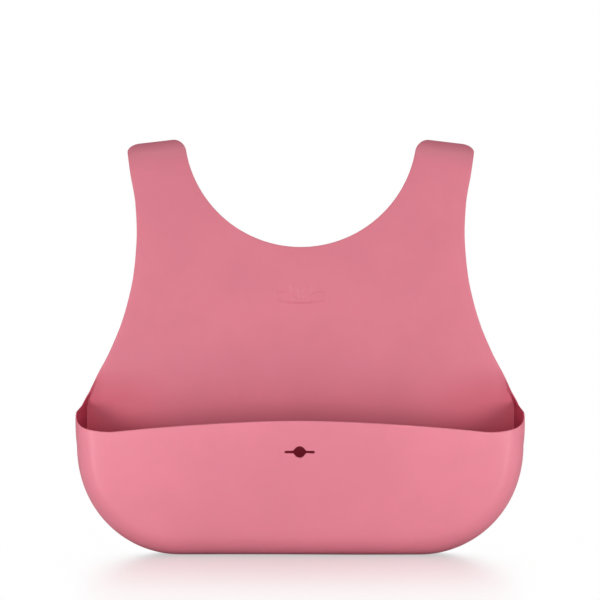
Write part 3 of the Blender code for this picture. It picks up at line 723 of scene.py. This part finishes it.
def build_apron():
    last = len(TOP_EDGE) - 1
    known = column_points(last)
    arc = []                                # the wall top's turn into the apron, unrolled
    for i in range(ARC_COL, last):
        x = curl_x(LIP_Z) + BACK_FILLET * LIP_TURN * (1 - (i - ARC_COL) / BACK_COLS) ** 2
        arc.append((x, LIP_Z))
        known[key(x, LIP_Z)] = ROWS[0][i]
        known[key(-x, LIP_Z)] = ROWS[-1][i]
    lip = [(curl_x(z) + BACK_FILLET * lip_turn(z), z) for z in steps(LIP_Z, LIP_END_Z, 14)[1:]]
    neck_side, outer = strap_edges(SEAM_UP)
    tab = [flat(across, SEAM_UP) for across in steps(outer, neck_side, 10)]
    upper = [(apron_half(z), z) for z in steps(LIP_END_Z, tab[0][1], 56)[1:-1]]
    right = arc[::-1] + lip + upper
    start = math.atan2(tab[-1][1] - NECK_Z, tab[-1][0])
    start = start if start < 0 else start - 2 * math.pi
    neck = [(NECK_R * math.cos(angle), NECK_Z + NECK_R * math.sin(angle))
            for angle in steps(start, -math.pi - start, 72)][1:-1]
    foot = [(row[-1][0], row[-1][2]) for row in ROWS]
    outline = foot + mirror(right) + tab + neck + mirror(tab[::-1]) + right[::-1]
    plane, tris = region(outline, points=apron_points(outline))
    sheet = [known.get(key(x, z)) or curl(x, z) for x, z in plane]
    strip, strip_faces = band(SEAM_COL, last)
    points, faces = merge([(strip, [face[::-1] for face in strip_faces]), (sheet, tris)])
    # The apron's front gets painted shade inside the pocket; its back gets none
    return skin("apron_skin", points, faces, rose, seam=apron_seam,
                front=lambda p: motif(p) + taper(p), back=taper, wave=-1.0,
                painted_shade=lambda p, side: inner_painted_shade(p) if side > 0 else (0.0, 0.0, 0.0), shift=taper)


# ---- straps, worked out on the left --------------------------------------------------------------
STRAP_MID_R = (STRAP_IN_R + STRAP_OUT_R) / 2
END_R = (STRAP_OUT_R - STRAP_IN_R) / 2
TIP_ANGLE = math.acos(STRAP_TIP_X / STRAP_MID_R) - END_R / STRAP_MID_R
HOLE_STEP = STRAP_HOLE_PITCH / STRAP_MID_R
HANG_STEPS, TIP_STEPS, HOLE_COUNT = 42, 24, 36
HOLE_RINGS = (0.75, 1.15, 1.55, 1.95, 2.4, 2.9)     # rings of points outside each hole's edge
BEAD_H, BEAD_R, BEAD_SPREAD = 0.38, 1.25, 0.62      # height, distance from the hole's edge, spread


def hang_radii(t):
    """Neck-side and outer radius of the hanging strap, t of the way from the bend to the tip."""
    blend = smooth(t * 1.5)
    inner, outer = NECK_R + CREST_CORNER, CREST_OUT_R
    return (inner + (STRAP_IN_R - NECK_R - CREST_CORNER) * blend,
            outer + (STRAP_OUT_R - CREST_OUT_R) * blend)


def hang_xz(radius, angle):
    """A point of the hanging strap; angles run down from -X about the neck's centre."""
    return (-radius * math.cos(angle), NECK_Z - radius * math.sin(angle))


def angle_of(across):
    x, z = flat(across, 0.0)
    return math.atan2(NECK_Z - z, -x)


def lay(x, z):
    """A point of the hanging strap, seen from the front, as a point of the flat sheet."""
    across, up = crest_frame(x, z)
    return flat(across, BEND_LENGTH - up)


def strap_region(centres, hole_d):
    """The strap's flat sheet, from the seam to the tip, with a hole at each centre."""
    bends = [SEAM_UP, -1.2, 0.0] + [math.radians(3.6 * i) * CREST_R for i in range(1, 51)]
    rows = []
    for along in bends:
        neck_side, outer = strap_edges(along)
        rows.append([flat(across, along) for across in steps(outer, neck_side, 10)])
    runs = []
    for which, across in enumerate(strap_edges(BEND_LENGTH)):
        angles = steps(angle_of(across), TIP_ANGLE, HANG_STEPS)
        runs.append([lay(*hang_xz(hang_radii(i / HANG_STEPS)[which], angles[i]))
                     for i in range(1, HANG_STEPS + 1)])
    inner_run, outer_run = runs
    tip_x, tip_z = hang_xz(STRAP_MID_R, TIP_ANGLE)
    out_x, out_z = math.cos(TIP_ANGLE), math.sin(TIP_ANGLE)
    tip = []
    for i in range(1, TIP_STEPS):
        angle = math.pi * i / TIP_STEPS
        cos, sin = math.cos(angle), math.sin(angle)
        tip.append(lay(tip_x - END_R * out_x * cos + END_R * out_z * sin,
                       tip_z - END_R * out_z * cos - END_R * out_x * sin))
    outline = ([row[0] for row in rows] + outer_run + tip + inner_run[::-1]
               + [row[-1] for row in rows[::-1]] + rows[0][1:-1][::-1])

    def ring(x, z, radius, offset=0.0):
        angles = [2 * math.pi * (i + offset) / HOLE_COUNT for i in range(HOLE_COUNT)]
        return [lay(x + radius * math.cos(angle), z + radius * math.sin(angle))
                for angle in angles]

    holes = [ring(x, z, hole_d / 2) for x, z in centres]
    points = []
    for x, z in centres:
        for k, extra in enumerate(HOLE_RINGS):
            points += ring(x, z, hole_d / 2 + extra, 0.5 * (k % 2))
    laid = [lay(*centre) for centre in centres]
    free = grid(outline, holes, 3.0, 1.5, skip=lambda x, z: (
        crest_frame(x, z)[1] < BEND_LENGTH + 1.0
        or any(math.hypot(x - hole_x, z - hole_z) < hole_d / 2 + 3.8 for hole_x, hole_z in laid)))
    return region(outline, holes, points + free, rows)


def build_strap(name, hole_angles, hole_d, right=False, beaded=False):
    centres = [hang_xz(STRAP_MID_R, angle) for angle in hole_angles]
    plane, faces = strap_region(centres, hole_d)
    points = [fold(x, z) for x, z in plane]
    if right:
        points = [(-x, y, z) for x, y, z in points]
        faces = [face[::-1] for face in faces]

    def bead(p):
        """A rounded ring about each hole."""
        if p.y < APRON_Y + CREST_R:
            return 0.0
        off = min(math.hypot(p.x - x, p.z - z) for x, z in centres) - hole_d / 2
        return BEAD_H * math.exp(-((off - BEAD_R) / BEAD_SPREAD) ** 2)

    swell = bead if beaded else none
    return skin(name, points, faces, rose, front=swell, back=swell, wave=-1.0,
                seam=lambda p: p.y < APRON_Y + 1.0 and at_tab_end(p))


# ---- neck stud and retainer, through the right strap's hole --------------------------------------
TURNED_COUNT = 72
STUD_X, STUD_Z = hang_xz(STRAP_MID_R, TIP_ANGLE)
STUD_AT = (-STUD_X, APRON_Y + 2 * CREST_R + HALF, STUD_Z)   # on the strap's back face
INNER_END = -SHEET - RETAINER_GAP - RETAINER_H
SHANK_ROUND, SHANK_FILLET = 0.35, 0.6       # the shank's free end, and its joint with the head
HEAD_LOW_ROUND, HEAD_RIM_ROUND, HEAD_RIM_RISE = 0.55, 0.75, 1.05
DOME_R, DOME_DROP = 3.6, 0.12               # where the dome ends, and how far below the top
# The dish in the head: radius, depth below the top
DISH = ((3.35, 0.14), (3.1, 0.32), (2.8, 0.44), (1.6, 0.47), (0.0, 0.47))


def turned(name, sections, material):
    """A solid of revolution about the Y axis through STUD_AT, from (radius, height) sections."""
    turns = [2 * math.pi * i / TURNED_COUNT for i in range(TURNED_COUNT)]
    verts, faces, rings = [], [], []
    for radius, height in sections:
        first = len(verts)
        y = STUD_AT[1] + height
        if radius < 1e-9:
            verts.append((STUD_AT[0], y, STUD_AT[2]))
        else:
            verts += [(STUD_AT[0] + radius * math.cos(turn), y,
                       STUD_AT[2] + radius * math.sin(turn)) for turn in turns]
        rings.append(list(range(first, len(verts))))
    pairs = list(zip(rings, rings[1:]))
    if sections[0][0] > 1e-9:               # a bored piece closes on itself
        pairs.append((rings[-1], rings[0]))
    for low, high in pairs:
        for i in range(TURNED_COUNT):
            j = (i + 1) % TURNED_COUNT
            if len(low) == 1:
                faces.append((low[0], high[i], high[j]))
            elif len(high) == 1:
                faces.append((low[i], high[0], low[j]))
            else:
                faces.append((low[i], high[i], high[j], low[j]))
    return make(name, verts, faces, material, sharp=40)


def arc(radius, height, rounding, first, last):
    """A rounding about (radius, height); angles in degrees."""
    return [(radius + rounding * math.cos(math.radians(angle)),
             height + rounding * math.sin(math.radians(angle))) for angle in steps(first, last, 5)]


def build_stud():
    shank, head = STUD_SHANK_D / 2, STUD_HEAD_D / 2
    low, top = STUD_STANDOFF, STUD_STANDOFF + STUD_HEAD_H
    line = [(0.0, INNER_END)]
    line += arc(shank - SHANK_ROUND, INNER_END + SHANK_ROUND, SHANK_ROUND, -90, 0)
    line += arc(shank + SHANK_FILLET, low - SHANK_FILLET, SHANK_FILLET, 180, 90)
    line += arc(head - HEAD_LOW_ROUND, low + HEAD_LOW_ROUND, HEAD_LOW_ROUND, -90, 0)
    line += arc(head - HEAD_RIM_ROUND, low + HEAD_RIM_RISE, HEAD_RIM_ROUND, 0, 55)
    rim_r, rim_h = line[-1]
    for t in steps(0.0, 1.0, 8)[1:]:
        line.append((rim_r + (DOME_R - rim_r) * t,
                     rim_h + (top - DOME_DROP - rim_h) * math.sin(t * math.pi / 2) ** 0.9))
    line += [(radius, top - depth) for radius, depth in DISH]
    return turned("neck_stud_fine", line, plastic)


def build_retainer():
    bore, outer = RETAINER_BORE_D / 2, RETAINER_D / 2
    low, high = INNER_END, -SHEET - RETAINER_GAP
    bore_round, low_round, high_round = 0.25, 0.7, 0.3
    line = arc(bore + bore_round, low + bore_round, bore_round, 180, 270)
    line += [(bore + 1.1, low), (bore + 1.35, low + 0.18), (bore + 1.6, low)]   # a fine groove
    line += arc(outer - low_round, low + low_round, low_round, -90, 0)
    line += arc(outer - high_round, high - high_round, high_round, 0, 90)
    line += arc(bore + bore_round, high - bore_round, bore_round, 90, 180)
    made = turned("stud_retainer_fine", line[::-1], plastic_ring)
    made.data.flip_normals()
    return made


# ---- materials -----------------------------------------------------------------------------------
FACTOR, COLOUR_A, COLOUR_B = 0, 6, 7        # a colour Mix node's inputs
COLOUR_OUT = 2


def feed(tree, target, inputs):
    """Set or link a node's inputs, by name or number."""
    for name, value in inputs.items():
        if isinstance(value, bpy.types.NodeSocket):
            tree.links.new(value, target.inputs[name])
        else:
            target.inputs[name].default_value = value


def node(tree, kind, inputs=None, **settings):
    made = tree.nodes.new("ShaderNode" + kind)
    for name, value in settings.items():
        setattr(made, name, value)
    feed(tree, made, inputs or {})
    return made


def silicone(name, colour, rough=0.46, tone=0.035, bump=0.10, translucency=0.10):
    """An even dye with faint clouding and a fine satin grain.

    The mesh's per-point attribute of painted shade darkens the colour, and reddens it as painted bounce
    light, where other faces are near; a negative amount paints it paler, as painted light."""
    material = bpy.data.materials.new(name)
    material.use_nodes = True
    tree = material.node_tree
    place = node(tree, "TexCoord").outputs["Object"]

    def scaled(*parts):
        return (*(c * part for c, part in zip(colour, parts)), 1.0)

    cloud = node(tree, "TexNoise", {"Vector": place, "Scale": 26.0, "Detail": 3.0,
                                    "Roughness": 0.55})
    ramp = node(tree, "MapRange", {"Value": cloud.outputs["Fac"], "From Min": 0.3, "From Max": 0.7,
                                   "To Min": 1 - tone, "To Max": 1 + tone})
    tint = node(tree, "Mix", data_type="RGBA", blend_type="MULTIPLY")
    feed(tree, tint, {FACTOR: 1.0, COLOUR_A: (*colour, 1.0), COLOUR_B: ramp.outputs["Result"]})

    # Painted shade: ambient occlusion here only tells how closely other faces crowd a point, and scales
    # colour changes painted into the base colour
    near = node(tree, "AmbientOcclusion", {"Distance": 0.060}, samples=6)
    painted_shade = node(tree, "Attribute", attribute_name="painted_shade")
    shut = node(tree, "Math", {0: 1.0, 1: near.outputs["AO"]}, operation="SUBTRACT").outputs[0]
    kinds = node(tree, "SeparateXYZ", {0: painted_shade.outputs["Vector"]}).outputs
    # The amount of painted shade: crowding times the first amount, plus the second
    depth = node(tree, "Math", {0: shut, 1: kinds["X"], 2: kinds["Y"]}, operation="MULTIPLY_ADD")
    # Painted bounce light: toward a redder, more saturated copy of the colour, by crowding times the
    # third amount
    painted_bounce_amount = node(tree, "Math", {0: shut, 1: kinds["Z"]}, operation="MULTIPLY")
    painted_bounce = node(tree, "Mix", data_type="RGBA", clamp_factor=True)
    feed(tree, painted_bounce, {FACTOR: painted_bounce_amount.outputs[0], COLOUR_A: tint.outputs[COLOUR_OUT],
                      COLOUR_B: scaled(1.40, 0.35, 0.60)})
    most = node(tree, "Math", {0: depth.outputs[0], 1: 1.0}, operation="MINIMUM")
    # Unclamped, so that a negative depth makes the colour paler, as painted light; the colour mixed
    # toward is the dark painted shade colour
    deep = node(tree, "Mix", data_type="RGBA", clamp_factor=False)
    feed(tree, deep, {FACTOR: most.outputs[0], COLOUR_A: painted_bounce.outputs[COLOUR_OUT],
                      COLOUR_B: scaled(0.58, 0.125, 0.23)})

    speck = node(tree, "TexNoise", {"Vector": place, "Scale": 900.0, "Detail": 2.0})
    satin = node(tree, "MapRange", {"Value": speck.outputs["Fac"],
                                    "To Min": rough - 0.05, "To Max": rough + 0.06})
    grain = node(tree, "TexNoise", {"Vector": place, "Scale": 2600.0, "Detail": 3.0})
    relief = node(tree, "Bump", {"Strength": bump, "Distance": 0.00006,
                                 "Height": grain.outputs["Fac"]})
    feed(tree, tree.nodes["Principled BSDF"], {
        "Base Color": deep.outputs[COLOUR_OUT],
        "Roughness": satin.outputs["Result"],
        "Normal": relief.outputs["Normal"],
        "IOR": 1.42,
        "Specular IOR Level": 0.45,
        "Subsurface Weight": translucency,
        "Subsurface Radius": (1.0, 0.35, 0.4),
        "Subsurface Scale": 0.0016,
        "Sheen Weight": 0.0,
        "Sheen Roughness": 0.45})
    return material


rose = silicone("rose_silicone", (0.655, 0.190, 0.250))
plastic = silicone("rose_plastic", (0.60, 0.135, 0.19), rough=0.30, tone=0.015, bump=0.04,
                   translucency=0.0)
plastic_ring = silicone("rose_plastic_ring", (0.56, 0.125, 0.175), rough=0.34, tone=0.015,
                        bump=0.05, translucency=0.0)

# ---- the pieces; the stud and retainer ride on the right strap -----------------------------------
pocket = build_pocket()
apron = build_apron()
strap_left = build_strap("strap_left_skin", [TIP_ANGLE - HOLE_STEP * i for i in range(STRAP_HOLES)],
                         STRAP_HOLE_D, beaded=True)
strap_right = build_strap("strap_right_skin", [TIP_ANGLE], STUD_HOLE_D, right=True)
stud = build_stud()
retainer = build_retainer()


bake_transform(pocket)
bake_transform(apron)
for strap, joint in ((strap_left, "left_strap"), (strap_right, "right_strap")):
    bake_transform(strap)
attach(stud, "right_strap")
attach(retainer, "right_strap")
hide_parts("pocket_scoop", "pocket_front")
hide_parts("apron_lower", "apron_upper")
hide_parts("strap_left")
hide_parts("strap_right")
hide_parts("neck_stud")
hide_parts("stud_retainer")


# ---- studio, in metres ---------------------------------------------------------------------------
WHITE = (1, 1, 1, 1)
FLOOR_HALF, FLOOR_Z = 6, -0.0002
SURROUND_R, SURROUND_LOW, SURROUND_HIGH, SURROUND_SIDES = 8, -0.5, 12.0, 48


def stage_mesh(name, verts, faces, material):
    mesh = bpy.data.meshes.new(name)
    mesh.from_pydata(verts, [], faces)
    mesh.materials.append(material)
    made = bpy.data.objects.new(name, mesh)
    bpy.context.collection.objects.link(made)
    return made


def bare_material(name):
    """A material with only an output node."""
    material = bpy.data.materials.new(name)
    material.use_nodes = True
    material.node_tree.nodes.clear()
    return material, material.node_tree, node(material.node_tree, "OutputMaterial")


def floor_material():
    """White table: bright of itself, with a soft reflection that fades with distance."""
    material, tree, output = bare_material("floor_white")
    glow = node(tree, "Emission", {"Color": WHITE, "Strength": 1.0})
    gloss = node(tree, "BsdfGlossy", {"Color": WHITE, "Roughness": 0.20})
    soft = node(tree, "BsdfDiffuse", {"Color": (0.55, 0.54, 0.54, 1)})
    place = node(tree, "NewGeometry")
    length = node(tree, "VectorMath", {0: place.outputs["Position"]}, operation="LENGTH")
    fade = node(tree, "MapRange", {"Value": length.outputs["Value"], "From Min": 0.03,
                                   "From Max": 0.42, "To Min": 0.47, "To Max": 0.09},
                interpolation_type="SMOOTHSTEP")
    seen = node(tree, "MixShader", {0: fade.outputs["Result"], 1: glow.outputs[0],
                                    2: gloss.outputs[0]})
    path = node(tree, "LightPath")
    pick = node(tree, "MixShader", {0: path.outputs["Is Camera Ray"], 1: soft.outputs[0],
                                    2: seen.outputs[0]})
    feed(tree, output, {"Surface": pick.outputs[0]})
    return material


def build_surround(floor):
    """The white wall that the table mirrors. It lights the table alone, so the bib's edges stay
    crisp."""
    material, tree, output = bare_material("surround_white")
    light = node(tree, "Emission", {"Color": WHITE, "Strength": 1.0})
    feed(tree, output, {"Surface": light.outputs[0]})
    count = SURROUND_SIDES
    circle = [(SURROUND_R * math.cos(turn), SURROUND_R * math.sin(turn))
              for turn in steps(0, 2 * math.pi, count)[:-1]]
    surround = stage_mesh(
        "surround", [(x, y, z) for z in (SURROUND_LOW, SURROUND_HIGH) for x, y in circle],
        [(i, (i + 1) % count, count + (i + 1) % count, count + i) for i in range(count)], material)
    only = bpy.data.collections.new("table_only")
    only.objects.link(floor)
    surround.light_linking.receiver_collection = only
    for ray in ("camera", "diffuse", "shadow", "transmission"):
        setattr(surround, "visible_" + ray, False)


def build_world():
    """White to the camera, a soft room to diffuse light and a dim one to reflections."""
    world = bpy.data.worlds.new("studio")
    bpy.context.scene.world = world
    world.use_nodes = True
    tree = world.node_tree
    tree.nodes.clear()
    output = node(tree, "OutputWorld")
    white = node(tree, "Background", {"Color": WHITE, "Strength": 1.0})
    room = node(tree, "Background", {"Color": (1.0, 0.985, 0.98, 1), "Strength": 0.51})
    dim = node(tree, "Background", {"Color": (1.0, 0.97, 0.96, 1), "Strength": 0.15})
    path = node(tree, "LightPath").outputs
    pick = node(tree, "MixShader")
    unseen = node(tree, "MixShader", {0: path["Is Glossy Ray"], 1: room.outputs[0],
                                      2: dim.outputs[0]})
    feed(tree, pick, {0: path["Is Camera Ray"], 1: unseen.outputs[0], 2: white.outputs[0]})
    feed(tree, output, {"Surface": pick.outputs[0]})


# Area lights: name, place, aim, size, power in watts, seen in reflections
LIGHTS = (
    ("near_left", (-0.33, -0.32, 0.03), (-0.04, -0.02, 0.03), (0.12, 0.16), 1.12, True),
    ("near_right", (0.33, -0.32, 0.03), (0.04, -0.02, 0.03), (0.12, 0.16), 1.05, True),
    ("side_left", (-1.0, -0.12, 0.10), (0, 0, 0.05), (0.3, 0.3), 0.8, True),
    ("side_right", (1.0, -0.12, 0.10), (0, 0, 0.05), (0.3, 0.3), 1.4, True),
    ("high", (0.0, -0.8, 1.25), (0, 0, 0.16), (0.9, 0.7), 1.3, True),
    ("top", (0.0, -0.25, 1.3), (0, 0.03, 0.2), (0.9, 0.4), 2.6, True),
    ("table_near", (0.0, -0.165, 0.0005), (0.0, -0.165, 1.0), (0.5, 0.14), 0.14, False),
    ("back", (0.0, 1.6, 0.30), (0, 0, 0.12), (1.4, 0.8), 4.0, False))


def build_lights():
    for name, place, aim, size, power, glossy in LIGHTS:
        light = bpy.data.lights.new(name, "AREA")
        light.shape = "RECTANGLE"
        light.size, light.size_y = size
        light.energy = power
        lamp = bpy.data.objects.new(name, light)
        lamp.location = place
        lamp.rotation_euler = (Vector(aim) - Vector(place)).to_track_quat("-Z", "Y").to_euler()
        bpy.context.collection.objects.link(lamp)
        lamp.visible_camera = False
        lamp.visible_glossy = glossy


def build_camera():
    """A long lens, nearly level with the bib."""
    turn, lift = math.radians(0.6), math.radians(3.0)
    distance, view_width, sensor = 12.0, 0.3202, 36.0
    toward = Vector((math.sin(turn) * math.cos(lift), -math.cos(turn) * math.cos(lift),
                     math.sin(lift)))
    up = Vector((-math.sin(turn) * math.sin(lift), math.cos(turn) * math.sin(lift),
                 math.cos(lift)))
    target = Vector((0, -0.014, 0)) + up * 0.1358
    lens = bpy.data.cameras.new("camera")
    lens.sensor_width = sensor
    lens.lens = sensor * distance / view_width
    lens.clip_end = 50
    camera = bpy.data.objects.new("camera", lens)
    bpy.context.collection.objects.link(camera)
    camera.location = target + toward * distance
    camera.rotation_euler = (-toward).to_track_quat("-Z", "Y").to_euler()
    bpy.context.scene.camera = camera


floor = stage_mesh("floor", [(x * FLOOR_HALF, y * FLOOR_HALF, FLOOR_Z)
                             for x, y in ((-1, -1), (1, -1), (1, 1), (-1, 1))],
                   [(0, 1, 2, 3)], floor_material())
build_surround(floor)
build_world()
build_lights()
build_camera()
bpy.context.scene.view_settings.view_transform = "Standard"
bpy.context.scene.view_settings.look = "None"
